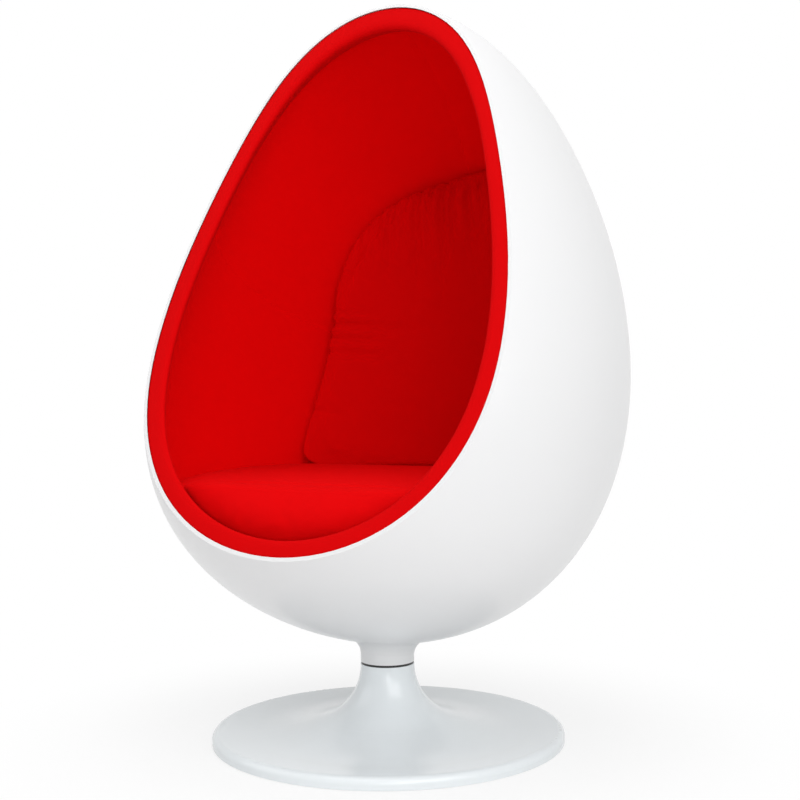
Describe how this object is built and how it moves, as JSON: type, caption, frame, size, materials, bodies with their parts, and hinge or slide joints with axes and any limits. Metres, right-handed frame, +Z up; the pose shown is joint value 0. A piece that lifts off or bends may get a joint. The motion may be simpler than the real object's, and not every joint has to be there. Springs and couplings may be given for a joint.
{
  "type": "pod chair",
  "caption": "Egg-shaped lounge chair: a moulded shell with a padded fabric lining and loose cushions, swivelling on a trumpet base.",
  "frame": {"origin": "centre of the base's underside, on the floor and on the swivel axis", "axes": "+Z up along the swivel axis, -Y the way the opening faces, +X to the left of a person who sits in it"},
  "size_m": [0.8498, 0.8084, 1.3],
  "materials": {
    "shell_white": "glossy white gelcoat on glass fibre",
    "base_white": "glossy cool white lacquer on spun aluminium",
    "red_fabric": "smooth red wool upholstery over foam",
    "red_cushion": "smooth red wool cushion cover",
    "plywood": "sanded birch plywood",
    "zinc_steel": "zinc plated",
    "bearing_steel": "ground bearing steel",
    "brass": "turned bronze",
    "felt": "dense dark grey felt",
    "black_plastic": "black acetal"
  },
  "bodies": {
    "base": {"base_cover": "base_white", "base_plate": "zinc_steel", "floor_felt": "felt", "column": "zinc_steel", "column_bolts": "zinc_steel", "cover_screws": "zinc_steel", "upper_bush": "brass", "lower_bush": "brass", "lower_race": "bearing_steel", "seam_ring": "black_plastic"},
    "bearing": {"roller_cage": "brass", "bearing_rollers": "bearing_steel"},
    "pod": {"pod_shell": "shell_white", "rim_roll": "red_fabric", "lining_upper_left": "red_fabric", "lining_upper_right": "red_fabric", "lining_lower_left": "red_fabric", "lining_lower_right": "red_fabric", "seat_cushion": "red_cushion", "back_cushion": "red_cushion", "seat_deck": "plywood", "deck_blocks": "plywood", "deck_screws": "zinc_steel", "floor_pad": "plywood", "backing_plate": "zinc_steel", "swivel_flange": "zinc_steel", "flange_bolts": "zinc_steel", "flange_washers": "zinc_steel", "upper_race": "bearing_steel", "spindle": "bearing_steel", "end_washer": "zinc_steel", "circlip": "bearing_steel"}
  },
  "joints": [
    {"name": "swivel", "type": "hinge", "parent": "base", "child": "pod", "pos_m": [0, 0, 0.147], "axis": [0, 0, 1], "continuous": true},
    {"name": "bearing_spin", "type": "hinge", "parent": "base", "child": "bearing", "pos_m": [0, 0, 0.147], "axis": [0, 0, 1], "continuous": true}
  ],
  "couplings": [
    {"joint": "bearing_spin", "follows": "swivel", "ratio": 0.5}
  ]
}
